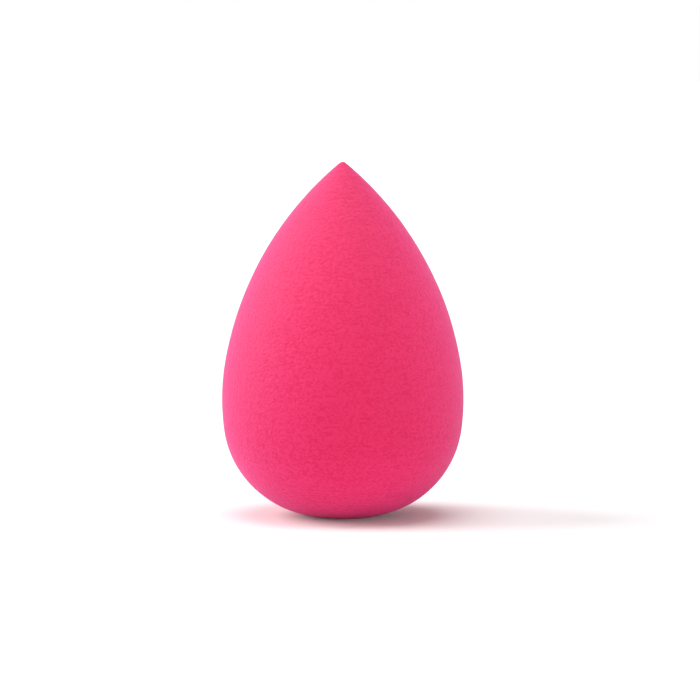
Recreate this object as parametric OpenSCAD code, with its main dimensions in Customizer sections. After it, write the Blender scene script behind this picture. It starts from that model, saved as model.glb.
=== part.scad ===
// Teardrop makeup sponge: one solid piece of fine foam, ground round about an upright axis.
// Its outline is five arcs, each tangent to the next: dome, heel, belly, flank and tip.
// The origin is the centre of the flat foot, and +Z runs up through the tip.

/* [Overall size] */
// Height from the flat foot to the tip
body_h = 60; // [48:1:76]
// Diameter at the widest point
body_d = 41; // [37:0.5:48]

/* [Belly] */
// Height of the widest point above the foot
belly_z = 19.8; // [15:0.1:21.5]
// Profile radius of the belly, at the widest point
belly_r = 38; // [28:1:60]
// How far the belly arc reaches above the widest point
belly_rise = 6.8; // [2:0.1:12]
// How far the belly arc reaches below the widest point
belly_drop = 5; // [1:0.1:10]

/* [Base] */
// Profile radius of the shallow dome underneath
dome_r = 28; // [22:0.5:45]
// Depth to which the dome is cut flat, so that the sponge stands
foot_cut = 0.5; // [0.2:0.1:2]

/* [Tip] */
// Radius of the blunted point
tip_r = 0.7; // [0.3:0.1:3]

/* [Hidden] */

// Colour of the foam
foam_pink = [0.92, 0.21, 0.41];
// How far a straight step of the outline may cut inside its arc
chord_error = 0.006;
$fn = 180;

// Directions in the half section, as angles up from the horizontal
straight_down = -90;
straight_out = 0;
straight_up = 90;

// Unit vector at an angle, and the angle of a vector
function towards(angle) = [cos(angle), sin(angle)];
function angle_of(vector) = atan2(vector.y, vector.x);

// Radius of the arc that leaves a point, square to the normal there, and ends tangent to a circle
function joining_r(point, normal, circle_centre, circle_r) =
    let (gap = point - circle_centre)
    (gap * gap - circle_r * circle_r) / (2 * (gap * normal - circle_r));

// Points along an arc, without its last one, which is where the next arc starts
function arc(centre, radius, from, to) =
    let (steps = ceil((to - from) / (2 * acos(1 - chord_error / radius))))
    [for (i = [0 : 1 : steps - 1]) centre + radius * towards(from + (to - from) * i / steps)];

// The belly: an arc through the widest point, with a joint at each end
belly_centre = [body_d / 2 - belly_r, belly_z];
belly_top_angle = asin(belly_rise / belly_r);
belly_low_angle = -asin(belly_drop / belly_r);
belly_top = belly_centre + belly_r * towards(belly_top_angle);
belly_low = belly_centre + belly_r * towards(belly_low_angle);

// The flank: from the belly's upper end to the small ball of the tip
tip_centre = [0, body_h - tip_r];
flank_r = joining_r(belly_top, towards(belly_top_angle), tip_centre, tip_r);
flank_centre = belly_top - flank_r * towards(belly_top_angle);
tip_angle = angle_of(tip_centre - flank_centre);

// The heel: from the belly's lower end to the dome underneath
dome_centre = [0, dome_r - foot_cut];
heel_r = joining_r(belly_low, towards(belly_low_angle), dome_centre, dome_r);
heel_centre = belly_low - heel_r * towards(belly_low_angle);
dome_angle = angle_of(heel_centre - dome_centre);
foot_angle = min(-asin(1 - foot_cut / dome_r), dome_angle);

// The whole outline, from the lowest point of the dome round to the tip
outline = concat(
    arc(dome_centre, dome_r, straight_down, foot_angle),
    arc(dome_centre, dome_r, foot_angle, dome_angle),
    arc(heel_centre, heel_r, dome_angle, belly_low_angle),
    arc(belly_centre, belly_r, belly_low_angle, straight_out),
    arc(belly_centre, belly_r, straight_out, belly_top_angle),
    arc(flank_centre, flank_r, belly_top_angle, tip_angle),
    arc(tip_centre, tip_r, tip_angle, straight_up),
    [[0, body_h]]
);

// Half of the upright section, with what lies under the foot cut away
module half_section() {
    intersection() {
        polygon(outline);
        square([body_d, body_h]);
    }
}

module sponge_body() {
    color(foam_pink)
        rotate_extrude()
            half_section();
}

sponge_body();
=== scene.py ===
"""A teardrop makeup sponge: the look of its ground foam, and the small studio that it stands in."""

import math
from contextlib import contextmanager

import bpy
import numpy as np
from bpy.props import FloatProperty, FloatVectorProperty, IntProperty, PointerProperty
from bpy.types import Operator, Panel, PropertyGroup
from mathutils import Euler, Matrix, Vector


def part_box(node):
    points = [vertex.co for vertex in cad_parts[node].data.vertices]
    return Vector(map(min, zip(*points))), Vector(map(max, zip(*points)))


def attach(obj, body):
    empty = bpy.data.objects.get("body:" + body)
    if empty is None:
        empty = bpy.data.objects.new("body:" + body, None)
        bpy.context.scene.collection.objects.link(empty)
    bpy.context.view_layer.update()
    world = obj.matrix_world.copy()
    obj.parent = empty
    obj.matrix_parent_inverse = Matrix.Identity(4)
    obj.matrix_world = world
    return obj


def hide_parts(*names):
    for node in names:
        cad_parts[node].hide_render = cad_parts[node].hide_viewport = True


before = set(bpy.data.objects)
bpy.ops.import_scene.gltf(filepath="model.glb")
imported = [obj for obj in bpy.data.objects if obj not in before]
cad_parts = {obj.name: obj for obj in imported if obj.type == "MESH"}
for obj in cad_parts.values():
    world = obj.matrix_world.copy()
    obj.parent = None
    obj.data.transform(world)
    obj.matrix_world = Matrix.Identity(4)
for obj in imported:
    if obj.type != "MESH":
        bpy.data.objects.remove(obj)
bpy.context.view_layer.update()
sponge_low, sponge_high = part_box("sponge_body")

bl_info = {
    "name": "Makeup Sponge",
    "version": (1, 0, 0),
    "blender": (4, 5, 0),
    "location": "View3D > Sidebar > Sponge",
    "description": "Builds a teardrop makeup sponge of fine ground foam, and a studio to see it in",
    "category": "Object",
}

# The two colours that need no setting
WHITE = (1, 1, 1, 1)
BLACK = (0, 0, 0, 1)
# Shares of a circle
QUARTER_TURN = math.pi / 2
FULL_TURN = 2 * math.pi


def length(name, description, default, least=0):
    """A setting that is a length in metres."""
    return FloatProperty(
        name=name, description=description, default=default, min=least, precision=6,
        subtype="DISTANCE", unit="LENGTH"
    )


def share(name, description, default):
    """A setting that is a share, from 0 to 1."""
    return FloatProperty(
        name=name, description=description, default=default, min=0, max=1, precision=3,
        subtype="FACTOR"
    )


def brightness(name, description, default):
    """A setting that is the strength of a light. At 1, a colour looks as it is written."""
    return FloatProperty(name=name, description=description, default=default, min=0, precision=3)


def colour(name, description, default):
    """A setting that is a colour, in linear light."""
    return FloatVectorProperty(
        name=name, description=description, default=default, min=0, max=1, size=4, subtype="COLOR"
    )


def angle(name, description, degrees):
    """A setting that is an angle, given here in degrees."""
    return FloatProperty(
        name=name, description=description, default=math.radians(degrees),
        subtype="ANGLE", unit="ROTATION"
    )


class SpongeShape(PropertyGroup):
    """The outline that the foam is ground to, as five arcs that run into each other."""

    height: length("Height", "From the flat foot to the tip", sponge_high.z - sponge_low.z)
    width: length("Width", "Diameter at the widest point", sponge_high.x - sponge_low.x)
    belly_height: length("Belly height", "Height of the widest point above the foot", 0.0198)
    belly_radius: length("Belly radius", "Profile radius at the widest point", 0.038)
    belly_rise: length("Belly rise", "Reach of the belly arc above the widest point", 0.0068)
    belly_drop: length("Belly drop", "Reach of the belly arc below the widest point", 0.005)
    dome_radius: length("Dome radius", "Profile radius of the shallow dome underneath", 0.028)
    foot_cut: length("Foot cut", "Depth to which the dome is pressed flat", 0.0005)
    tip_radius: length("Tip radius", "Radius of the blunted point", 0.0007)


class SpongeFoam(PropertyGroup):
    """The relief, grain and colour of the ground foam."""

    skin_levels: IntProperty(
        name="Skin levels", description="How often each side of the starting cube is halved",
        default=7, min=3, max=8
    )
    swell_width: length("Swell width", "Width of the slight swells left by grinding by hand", 0.013)
    swell_height: length("Swell height", "Height of those swells", 0.00012)
    scratch_length: length("Scratch length", "Length of the grinding wheel's scratches", 0.004)
    scratch_width: length("Scratch width", "Width of those scratches", 0.00045)
    scratch_depth: length("Scratch depth", "Depth of those scratches", 0.00002)
    lump_size: length("Lump size", "Size of the soft lumps of the surface", 0.0009)
    lump_depth: length("Lump depth", "Height of those lumps", 0.00002)
    pit_spacing: length("Pit spacing", "Distance between the larger open cells", 0.0016)
    pit_depth: length("Pit depth", "Depth of the larger open cells", 0.00003)
    grain_length: length("Grain length", "Length of the ground face's fine level grain", 0.00055)
    grain_width: length("Grain width", "Width of that grain", 0.00034)
    cell_size: length("Cell size", "Size of the fine cells of the foam", 0.00036)
    cell_depth: length("Cell depth", "Depth of the fine cells", 0.00016)
    # Deep pink in the cell hollows is painted shade and pale pink on the raised walls is painted
    # light, besides the random tone of the blotches
    pale_pink: colour("Pale pink", "Colour of the raised cell walls", (0.868, 0.016, 0.131, 1))
    deep_pink: colour("Deep pink", "Colour in the hollows of the cells", (0.814, 0.0, 0.085, 1))
    # Painted light: added to the pink more and more towards the tip, so the top looks paler as if
    # more light fell on it
    painted_tip_light: colour("Tip glow", "Light that the thin tip passes on", (0.047, 0.019, 0.016, 1))
    gloss: share("Gloss", "Strength of the broad gloss of the cell walls", 0.12)
    roughness: share("Roughness", "How broad that gloss is", 0.624)
    sheen: share("Sheen", "Strength of the velvet edge", 0.251)
    sheen_tint: colour("Sheen tint", "Colour of that edge", (0.47, 0.413, 1.0, 1))
    sheen_roughness: share("Sheen roughness", "How far that edge reaches inwards", 0.745)


class SpongeStudio(PropertyGroup):
    """The floor, the lamps and the camera."""

    distance: length("Camera distance", "From the camera to the middle of the sponge", 0.6)
    elevation: angle("Camera elevation", "How far the camera looks down", 5)
    focal_length: FloatProperty(
        name="Focal length", description="Of the camera's lens", default=182.4, min=1,
        subtype="DISTANCE_CAMERA", unit="CAMERA"
    )
    aim_right: length("Aim right", "How far right of the axis the camera aims", 0.00122, least=-1)
    aim_up: length("Aim up", "How far above half the height the camera aims", -0.00187, least=-1)
    lamp_width: angle("Lamp width", "Angle that each soft lamp fills", 46)
    key: brightness("Key", "Strength of the main lamp, on the left", 0.78)
    rim: brightness("Rim lamp", "Strength of the low lamp on the left", 0.28)
    top: brightness("Top lamp", "Strength of the lamp overhead", 0.543)
    front: brightness("Front lamp", "Strength of the level lamp in front, on the right", 0.355)
    room: brightness("Room light", "Strength of the even light from the whole room", 0.374)
    floor_lift: share("Floor lift", "How much whiter the floor looks than it is lit", 0.06)
    floor: colour("Floor", "Colour of the floor", (0.875, 0.875, 0.875, 1))
    floor_size: length("Floor size", "Width of the floor", 12)


class Signal:
    """One output of a shader node. Arithmetic on it adds the Math nodes that work it out."""

    def __init__(self, shader, socket):
        self.shader = shader
        self.socket = socket

    def __add__(self, other):
        return self.shader.math("ADD", self, other)

    def __sub__(self, other):
        return self.shader.math("SUBTRACT", self, other)

    def __rsub__(self, other):
        return self.shader.math("SUBTRACT", other, self)

    def __mul__(self, other):
        return self.shader.math("MULTIPLY", self, other)

    __radd__ = __add__
    __rmul__ = __mul__


class Shader:
    """The emptied node tree of a material or world, with a short way to add each kind of node."""

    def __init__(self, owner):
        owner.use_nodes = True
        self.tree = owner.node_tree
        self.tree.nodes.clear()

    def add(self, kind, inputs=(), output=None, **settings):
        """Adds a node, sets its settings and then its sockets, and returns one of its outputs."""
        node = self.tree.nodes.new(kind)
        for name, value in settings.items():
            setattr(node, name, value)
        for name, value in dict(inputs).items():
            socket = next(s for s in node.inputs if s.identifier == name)
            if isinstance(value, Signal):
                self.tree.links.new(value.socket, socket)
            else:
                socket.default_value = value
        shown = [s for s in node.outputs if s.enabled and output in (None, s.identifier)]
        return Signal(self, shown[0]) if shown else None

    def math(self, operation, first, second):
        """The result of one Math node on two signals or numbers."""
        inputs = {"Value": first, "Value_001": second}
        return self.add("ShaderNodeMath", inputs, operation=operation)

    def ramp(self, signal, low, high):
        """Rises smoothly from 0 where the signal is low to 1 where it is high."""
        inputs = {"Value": signal, "From Min": low, "From Max": high}
        return self.add("ShaderNodeMapRange", inputs, interpolation_type="SMOOTHSTEP")

    def blend(self, part, first, second):
        """A colour that goes from the first to the second as part goes from 0 to 1."""
        inputs = {"Factor_Float": part, "A_Color": first, "B_Color": second}
        return self.add("ShaderNodeMix", inputs, data_type="RGBA")

    def glow(self, part, first, second):
        """The first colour, and on top of it as much of the second as part says."""
        inputs = {"Factor_Float": part, "A_Color": first, "B_Color": second}
        return self.add("ShaderNodeMix", inputs, data_type="RGBA", blend_type="ADD")

    def noise(self, place, size, detail=0):
        """Cloudy noise from 0 to 1, with blobs of about this size in metres."""
        inputs = {"Vector": place, "Scale": 1 / size, "Detail": detail}
        return self.add("ShaderNodeTexNoise", inputs)

    def strokes(self, place, stroke_length, stroke_width):
        """Noise drawn out into level strokes of this length and width."""
        inputs = {"Vector": place, "Scale": (1, 1, stroke_length / stroke_width)}
        return self.noise(self.add("ShaderNodeMapping", inputs), stroke_length)

    def cells(self, place, size):
        """How far a point is from the middle of its foam cell, as a share of the cells' size."""
        inputs = {"Vector": place, "Scale": 1 / size}
        return self.add("ShaderNodeTexVoronoi", inputs, output="Distance")


@contextmanager
def edit_mode():
    """Edit mode on the active object, for work on its vertices."""
    bpy.ops.object.mode_set(mode="EDIT")
    bpy.ops.mesh.select_mode(type="VERT")
    yield
    bpy.ops.object.mode_set(mode="OBJECT")


def finish_with(piece, kind, **settings):
    """Adds a modifier to the piece and applies it."""
    modifier = piece.modifiers.new(kind.title(), kind)
    for name, value in settings.items():
        setattr(modifier, name, value)
    bpy.context.view_layer.objects.active = piece
    bpy.ops.object.modifier_apply(modifier=modifier.name)


def named(name):
    """Names the object that was just added, and its mesh, and returns it."""
    piece = bpy.context.object
    piece.name = name
    piece.data.name = name
    return piece


def towards(turn):
    """The unit vector at an angle up from level, in the half section."""
    return Vector((math.cos(turn), math.sin(turn)))


def joining_radius(point, normal, centre, radius):
    """Radius of an arc from a point, square to the normal there, that ends tangent to a circle."""
    gap = point - centre
    return (gap.length_squared - radius**2) / (2 * (gap @ normal - radius))


def teardrop_arcs(shape):
    """The outline from the foot to the tip: each arc's centre, first angle and last angle."""
    belly = Vector((shape.width / 2 - shape.belly_radius, shape.belly_height))
    belly_top = math.asin(shape.belly_rise / shape.belly_radius)
    belly_low = -math.asin(shape.belly_drop / shape.belly_radius)

    tip = Vector((0, shape.height - shape.tip_radius))
    flank_start = belly + shape.belly_radius * towards(belly_top)
    flank_radius = joining_radius(flank_start, towards(belly_top), tip, shape.tip_radius)
    flank = flank_start - flank_radius * towards(belly_top)
    tip_start = math.atan2(*(tip - flank).yx)

    dome = Vector((0, shape.dome_radius - shape.foot_cut))
    heel_end = belly + shape.belly_radius * towards(belly_low)
    heel_radius = joining_radius(heel_end, towards(belly_low), dome, shape.dome_radius)
    heel = heel_end - heel_radius * towards(belly_low)
    dome_end = math.atan2(*(heel - dome).yx)
    foot_edge = -math.asin(1 - shape.foot_cut / shape.dome_radius)
    return [
        (dome, foot_edge, dome_end),
        (heel, dome_end, belly_low),
        (belly, belly_low, belly_top),
        (flank, belly_top, tip_start),
        (tip, tip_start, QUARTER_TURN),
    ]


def turned_teardrop(shape):
    """The smooth teardrop, turned about its upright axis like work on a lathe.

    One point is drawn out to the foot's edge and swung along each arc, and the line that it
    leaves is turned.
    """
    steps_per_radian = 60
    fewest_steps = 8
    turning_steps = 360
    bpy.ops.object.select_all(action="DESELECT")
    bpy.ops.mesh.primitive_plane_add(size=shape.width)
    teardrop = named("turned_teardrop")
    arcs = teardrop_arcs(shape)
    dome, foot_edge, _ = arcs[0]
    foot_radius = shape.dome_radius * math.cos(foot_edge)
    with edit_mode():
        bpy.ops.mesh.merge(type="CENTER")
        bpy.ops.mesh.extrude_region_move(TRANSFORM_OT_translate={"value": (foot_radius, 0, 0)})
        for centre, first, last in arcs:
            sweep = last - first
            steps = max(fewest_steps, round(sweep * steps_per_radian))
            bpy.ops.mesh.spin(
                steps=steps, angle=sweep, center=(centre.x, 0, centre.y), axis=(0, 1, 0)
            )
    finish_with(
        teardrop, "SCREW", axis="Z", angle=FULL_TURN, steps=turning_steps,
        render_steps=turning_steps, use_merge_vertices=True,
        merge_threshold=shape.tip_radius / turning_steps
    )
    return teardrop


def lay_out_map(piece):
    """Lays out the map for baking: one box for each side of the starting cube."""
    across = 3
    up = 2
    # Bare margin inside a box, as a share of its width
    margin = 0.01
    layer = piece.data.uv_layers[0]
    layer.name = "OFBake"
    corners = ((0, 0), (1, 0), (1, 1), (0, 1))
    for side in piece.data.polygons:
        column = side.index % across
        row = side.index // across
        for corner, place in zip(corners, side.loop_indices):
            u, v = (margin + c * (1 - 2 * margin) for c in corner)
            layer.data[place].uv = ((column + u) / across, (row + v) / up)


def even_skin(name, form, shape, levels):
    """A closed skin of even quads laid on a turned form, with no pole at its tip or foot.

    A cube is divided, rounded into a ball, stretched, and drawn onto the form.
    """
    bpy.ops.object.select_all(action="DESELECT")
    bpy.ops.mesh.primitive_cube_add(size=1)
    skin = named(name)
    lay_out_map(skin)
    finish_with(skin, "SUBSURF", levels=levels, render_levels=levels)
    with edit_mode():
        bpy.ops.mesh.select_all(action="SELECT")
        bpy.ops.transform.tosphere(value=1)
    across, _, _ = skin.dimensions
    wider = shape.width / across
    taller = shape.height / across
    with edit_mode():
        bpy.ops.mesh.select_all(action="SELECT")
        bpy.ops.transform.resize(value=(wider, wider, taller))
        bpy.ops.transform.translate(value=(0, 0, shape.height / 2))
    finish_with(skin, "SHRINKWRAP", target=form, wrap_method="NEAREST_SURFACEPOINT")
    return skin


def clouds(name, size, detail=0):
    """A cloudy texture for displacing, with blobs of this size."""
    texture = bpy.data.textures.new(name, "CLOUDS")
    texture.noise_scale = size
    texture.noise_basis = "IMPROVED_PERLIN"
    texture.noise_depth = detail
    return texture


def dots(name, spacing):
    """A texture for displacing: 1 everywhere, but for round dots of 0 at irregular places."""
    # Where a dot's floor ends and where its wall ends, as shares of the spacing
    inner = 0.12
    outer = 0.42
    texture = bpy.data.textures.new(name, "VORONOI")
    texture.noise_scale = spacing
    texture.noise_intensity = 1
    texture.use_color_ramp = True
    low, high = texture.color_ramp.elements
    low.position = inner
    low.color = BLACK
    high.position = outer
    high.color = WHITE
    return texture


def stretched_space(across, up):
    """An empty with a stretched space, where a texture of size 1 draws strokes of these sizes."""
    bpy.ops.object.select_all(action="DESELECT")
    bpy.ops.object.empty_add()
    space = bpy.context.object
    space.scale = (across, across, up)
    bpy.context.view_layer.update()
    return space


def places(piece):
    """The places of a piece's vertices, one row each."""
    flat = np.empty(3 * len(piece.data.vertices), np.float32)
    piece.data.vertices.foreach_get("co", flat)
    return flat.reshape(-1, 3)


def give_relief(skin, foam):
    """Presses the swells, scratches, lumps and open cells of ground foam into the skin.

    Scratches, lumps and cells only go inwards. The skin's attribute "hollow" keeps how deep they
    are together, as a share of the most that they can be, and the material reads it to paint shade
    into the hollows.
    """
    swells = clouds("hand_ground_swells", foam.swell_width)
    finish_with(skin, "DISPLACE", texture=swells, strength=foam.swell_height)
    smooth = places(skin)

    scratches = clouds("grinding_scratches", 1)
    space = stretched_space(foam.scratch_length, foam.scratch_width)
    finish_with(
        skin, "DISPLACE", texture=scratches, strength=foam.scratch_depth, mid_level=1,
        texture_coords="OBJECT", texture_coords_object=space
    )
    bpy.data.objects.remove(space)
    lumps = clouds("soft_lumps", foam.lump_size, detail=1)
    finish_with(skin, "DISPLACE", texture=lumps, strength=foam.lump_depth, mid_level=1)
    cells = dots("open_cells", foam.pit_spacing)
    finish_with(skin, "DISPLACE", texture=cells, strength=foam.pit_depth, mid_level=1)

    depth = np.linalg.norm(places(skin) - smooth, axis=1)
    deepest = foam.scratch_depth + foam.lump_depth + foam.pit_depth
    hollow = skin.data.attributes.new("hollow", "FLOAT", "POINT")
    hollow.data.foreach_set("value", depth / deepest)


def press_foot(skin):
    """Presses the lowest foam flat onto the floor, as its own weight does."""
    with edit_mode():
        bpy.ops.mesh.select_all(action="DESELECT")
    for vertex in skin.data.vertices:
        vertex.select = vertex.co.z < 0
    with edit_mode():
        bpy.ops.transform.resize(value=(1, 1, 0), center_override=(0, 0, 0))
        bpy.ops.mesh.select_all(action="DESELECT")


def foam_material(foam, sponge_height):
    """Fine-celled foam: a rough, mottled pink with a velvet edge.

    Its pink carries painted shade in the troughs and hollows of the relief, painted light on the
    crests, and painted light that makes it paler towards the tip.
    """
    # What each pattern adds to the height, as a share of the cells' depth
    grain_height = 0.65
    cell_height = 0.3
    scratch_height = 0.25
    # What the relief, the blotches and the hollows do to the tone: troughs and hollows get painted
    # shade, crests get painted light, and blotches vary the tone at random
    relief_shade_tone = 1.8
    blotch_tone = 0.15
    hollow_shade_tone = 0.3
    # The tones at which the pink is wholly deep and wholly pale
    deep_tone = 0.66
    pale_tone = 1.34
    # How much rougher the crests of the grain are than its troughs
    grain_roughness = 0.08
    middling = 0.5
    blotch_size = foam.swell_width / 2

    material = bpy.data.materials.new("ground foam")
    shader = Shader(material)
    place = shader.add("ShaderNodeTexCoord", output="Object")
    # The hollow depth paints shade: the deeper a point is pressed in, the darker its pink
    hollow = shader.add("ShaderNodeAttribute", output="Fac", attribute_name="hollow")
    grain = shader.strokes(place, foam.grain_length, foam.grain_width)
    scratch = shader.strokes(place, foam.scratch_length, foam.scratch_width)
    blotch = shader.noise(place, blotch_size, detail=1)
    cell = shader.cells(place, foam.cell_size)

    height = grain_height * grain + cell_height * cell + scratch_height * scratch
    tone = relief_shade_tone * height + blotch_tone * blotch - hollow_shade_tone * hollow
    pale = shader.ramp(tone, deep_tone, pale_tone)
    # Painted shade and light: the pink is deep where the relief is low or hollow and pale where it
    # is raised, and the blotches add random tone
    pink = shader.blend(pale, foam.deep_pink, foam.pale_pink)
    # Painted light: the pink is made paler towards the tip by adding a colour that grows with
    # height
    rise = shader.add("ShaderNodeSeparateXYZ", {"Vector": place}, output="Z")
    pink = shader.glow(shader.ramp(rise, 0, sponge_height), pink, foam.painted_tip_light)
    relief = shader.add("ShaderNodeBump", {"Distance": foam.cell_depth, "Height": height})
    surface = shader.add(
        "ShaderNodeBsdfPrincipled",
        {
            "Base Color": pink,
            "Roughness": foam.roughness + grain_roughness * (grain - middling),
            "Normal": relief,
            "Diffuse Roughness": 1,
            "Specular IOR Level": foam.gloss,
            "Sheen Weight": foam.sheen,
            "Sheen Roughness": foam.sheen_roughness,
            "Sheen Tint": foam.sheen_tint,
        },
    )
    shader.add("ShaderNodeOutputMaterial", {"Surface": surface})
    return material


def seen_directly(shader):
    """1 for what the camera, a gloss or a glass sees, and 0 for the light that falls on things."""
    kinds = ("Is Camera Ray", "Is Glossy Ray", "Is Transmission Ray")
    camera, gloss, glass = (shader.add("ShaderNodeLightPath", output=kind) for kind in kinds)
    return shader.math("MAXIMUM", shader.math("MAXIMUM", camera, gloss), glass)


def floor_material(studio):
    """A pale matte floor that looks white, and still takes the sponge's shadow."""
    material = bpy.data.materials.new("pale floor")
    shader = Shader(material)
    matte = shader.add("ShaderNodeBsdfDiffuse", {"Color": studio.floor})
    lift = seen_directly(shader) * studio.floor_lift
    glow = shader.add("ShaderNodeEmission", {"Color": WHITE, "Strength": lift})
    surface = shader.add("ShaderNodeAddShader", {"Shader": matte, "Shader_001": glow})
    shader.add("ShaderNodeOutputMaterial", {"Surface": surface})
    return material


def light_room(studio):
    """Even light from the whole room, which looks white behind the sponge."""
    world = bpy.data.worlds.new("white room")
    bpy.context.scene.world = world
    shader = Shader(world)
    seen = seen_directly(shader)
    strength = seen + (1 - seen) * studio.room
    light = shader.add("ShaderNodeBackground", {"Color": WHITE, "Strength": strength})
    shader.add("ShaderNodeOutputWorld", {"Surface": light})


def add_lamp(name, turn, height, width, strength):
    """A soft lamp far away, turned from the front, raised and made wide by these three angles.

    At strength 1, a surface that faces it shows a colour as it is written.
    """
    lamp = bpy.data.lights.new(name, "SUN")
    lamp.energy = math.pi * strength
    lamp.angle = width
    holder = bpy.data.objects.new(name, lamp)
    bpy.context.scene.collection.objects.link(holder)
    towards_lamp = Euler((-height, 0, turn)).to_matrix() @ Vector((0, -1, 0))
    holder.rotation_euler = towards_lamp.to_track_quat("Z", "Y").to_euler()


def add_camera(studio, middle):
    """A camera in front that looks a little down on the sponge, at about its middle."""
    lens = bpy.data.cameras.new("camera")
    lens.lens = studio.focal_length
    camera = bpy.data.objects.new("camera", lens)
    bpy.context.scene.collection.objects.link(camera)
    aim = middle + Vector((studio.aim_right, 0, studio.aim_up))
    back = Vector((0, -math.cos(studio.elevation), math.sin(studio.elevation)))
    camera.location = aim + studio.distance * back
    camera.rotation_euler = (-back).to_track_quat("-Z", "Y").to_euler()
    bpy.context.scene.camera = camera


class SPONGE_OT_foam(Operator):
    """Make the sponge's foam body"""

    bl_idname = "sponge.foam"
    bl_label = "Foam Body"

    def execute(self, context):
        shape = context.scene.sponge_shape
        foam = context.scene.sponge_foam
        form = turned_teardrop(shape)
        body = even_skin("foam_body", form, shape, foam.skin_levels)
        bpy.data.objects.remove(form)
        give_relief(body, foam)
        press_foot(body)
        body.data.shade_smooth()
        body.data.materials.append(foam_material(foam, shape.height))
        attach(body, "root")
        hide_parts("sponge_body")
        return {"FINISHED"}


class SPONGE_OT_studio(Operator):
    """Make the floor, the lamps and the camera"""

    bl_idname = "sponge.studio"
    bl_label = "Studio"

    def execute(self, context):
        shape = context.scene.sponge_shape
        studio = context.scene.sponge_studio
        bpy.ops.object.select_all(action="DESELECT")
        bpy.ops.mesh.primitive_plane_add(size=studio.floor_size)
        floor = named("floor")
        floor.data.materials.append(floor_material(studio))

        light_room(studio)
        # Each lamp's name, its turn from the front and its height in degrees, and its strength
        lamps = (
            ("key", -97, 31.4, studio.key),
            ("rim lamp", -101, 10, studio.rim),
            ("top lamp", 0, 89, studio.top),
            ("front lamp", 43, 0, studio.front),
        )
        for name, turn, height, strength in lamps:
            add_lamp(name, math.radians(turn), math.radians(height), studio.lamp_width, strength)

        add_camera(studio, Vector((0, 0, shape.height / 2)))
        context.scene.view_settings.view_transform = "Standard"
        return {"FINISHED"}


class SPONGE_PT_panel(Panel):
    """The sponge's settings, in the 3D view's sidebar"""

    bl_idname = "SPONGE_PT_panel"
    bl_label = "Makeup Sponge"
    bl_space_type = "VIEW_3D"
    bl_region_type = "UI"
    bl_category = "Sponge"

    def draw(self, context):
        scene = context.scene
        for title, settings, operator in (
            ("Shape", scene.sponge_shape, None),
            ("Foam", scene.sponge_foam, SPONGE_OT_foam),
            ("Studio", scene.sponge_studio, SPONGE_OT_studio),
        ):
            box = self.layout.box()
            box.label(text=title)
            for name in settings.__annotations__:
                box.prop(settings, name)
            if operator:
                box.operator(operator.bl_idname)


# The settings that the scene holds, each under its own name
SETTINGS = {"sponge_shape": SpongeShape, "sponge_foam": SpongeFoam, "sponge_studio": SpongeStudio}
CLASSES = (*SETTINGS.values(), SPONGE_OT_foam, SPONGE_OT_studio, SPONGE_PT_panel)


def register():
    """Makes the classes known to Blender, and gives the scene its settings."""
    for item in CLASSES:
        bpy.utils.register_class(item)
    for name, group in SETTINGS.items():
        setattr(bpy.types.Scene, name, PointerProperty(type=group))


def unregister():
    """Takes away what register added."""
    for name in SETTINGS:
        delattr(bpy.types.Scene, name)
    for item in reversed(CLASSES):
        bpy.utils.unregister_class(item)


def main():
    """Makes the studio and the sponge."""
    register()
    bpy.ops.sponge.studio()
    bpy.ops.sponge.foam()


if __name__ == "__main__":
    main()
